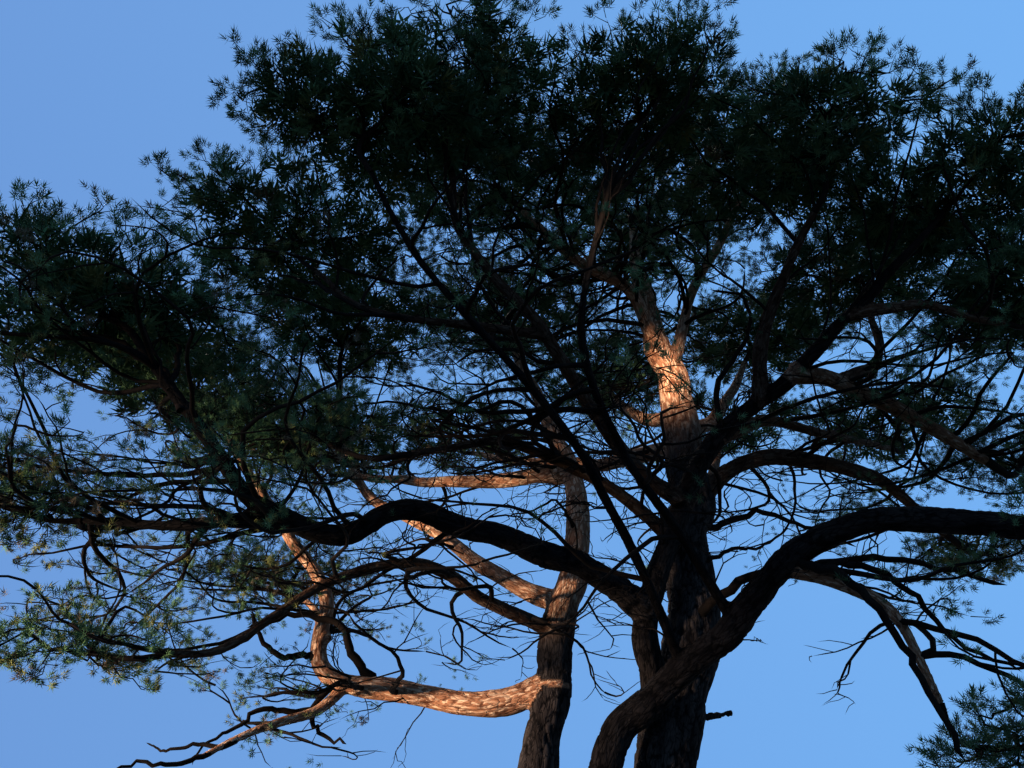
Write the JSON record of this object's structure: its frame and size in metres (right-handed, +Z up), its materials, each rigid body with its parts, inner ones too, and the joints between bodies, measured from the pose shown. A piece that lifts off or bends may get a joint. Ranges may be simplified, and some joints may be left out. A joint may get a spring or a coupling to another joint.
{
  "type": "maritime pine tree",
  "caption": "Old pine tree grown as a clump of leaning stems from one root, with crooked bare boughs and a wide, flat-topped crown of needles.",
  "frame": {"origin": "the middle of the flat cut at ground level, under the root crown that the stems share", "axes": "+Z up, +X to the right as the picture shows the tree, +Y away from the camera"},
  "size_m": [19.6653, 14.5768, 16.0392],
  "materials": {
    "bark_grey": "rough, deeply cracked grey-brown bark plates",
    "bark_orange": "thin, flaking orange-brown bark of the upper limbs",
    "needles": "dark blue-green needles in short sprays, yellow-green where the sun catches them"
  },
  "bodies": {
    "root": {"trunk": "bark_grey", "left_stem": "bark_grey", "front_stem": "bark_grey", "front_bough_right": "bark_grey", "leaning_stem": "bark_grey", "long_bough_left": "bark_grey", "long_bough_fork": "bark_grey", "low_bough_left": "bark_orange", "orange_bough_left": "bark_orange", "drooping_bough_left": "bark_orange", "low_bough_back": "bark_orange", "orange_bough_back": "bark_orange", "middle_bough_left": "bark_orange", "climbing_bough_left": "bark_orange", "climbing_bough_fork": "bark_orange", "slim_bough_front": "bark_orange", "slim_bough_front_left": "bark_orange", "upright_bough_right": "bark_orange", "upper_bough_right": "bark_orange", "far_bough_right": "bark_orange", "high_bough_right": "bark_orange", "middle_bough_right": "bark_orange", "back_bough_right": "bark_orange", "drooping_bough_right": "bark_orange", "top_bough_left": "bark_orange", "top_bough_right": "bark_orange", "back_bough_1": "bark_orange", "back_bough_2": "bark_orange", "back_bough_3": "bark_orange", "back_bough_4": "bark_orange", "back_bough_5": "bark_orange", "needles_top": "needles", "needles_left": "needles", "needles_front": "needles", "needles_leaning": "needles", "needles_long_left": "needles", "needles_long_fork": "needles", "needles_low_left": "needles", "needles_orange_left": "needles", "needles_low_back": "needles", "needles_orange_back": "needles", "needles_middle_left": "needles", "needles_climbing_left": "needles", "needles_climbing_fork": "needles", "needles_slim_front": "needles", "needles_slim_front_left": "needles", "needles_upright_right": "needles", "needles_upper_right": "needles", "needles_far_right": "needles", "needles_high_right": "needles", "needles_middle_right": "needles", "needles_back_right": "needles", "needles_drooping_right": "needles", "needles_top_left": "needles", "needles_top_right": "needles", "needles_back_1": "needles", "needles_back_2": "needles", "needles_back_3": "needles", "needles_back_4": "needles", "needles_back_5": "needles"}
  },
  "joints": []
}
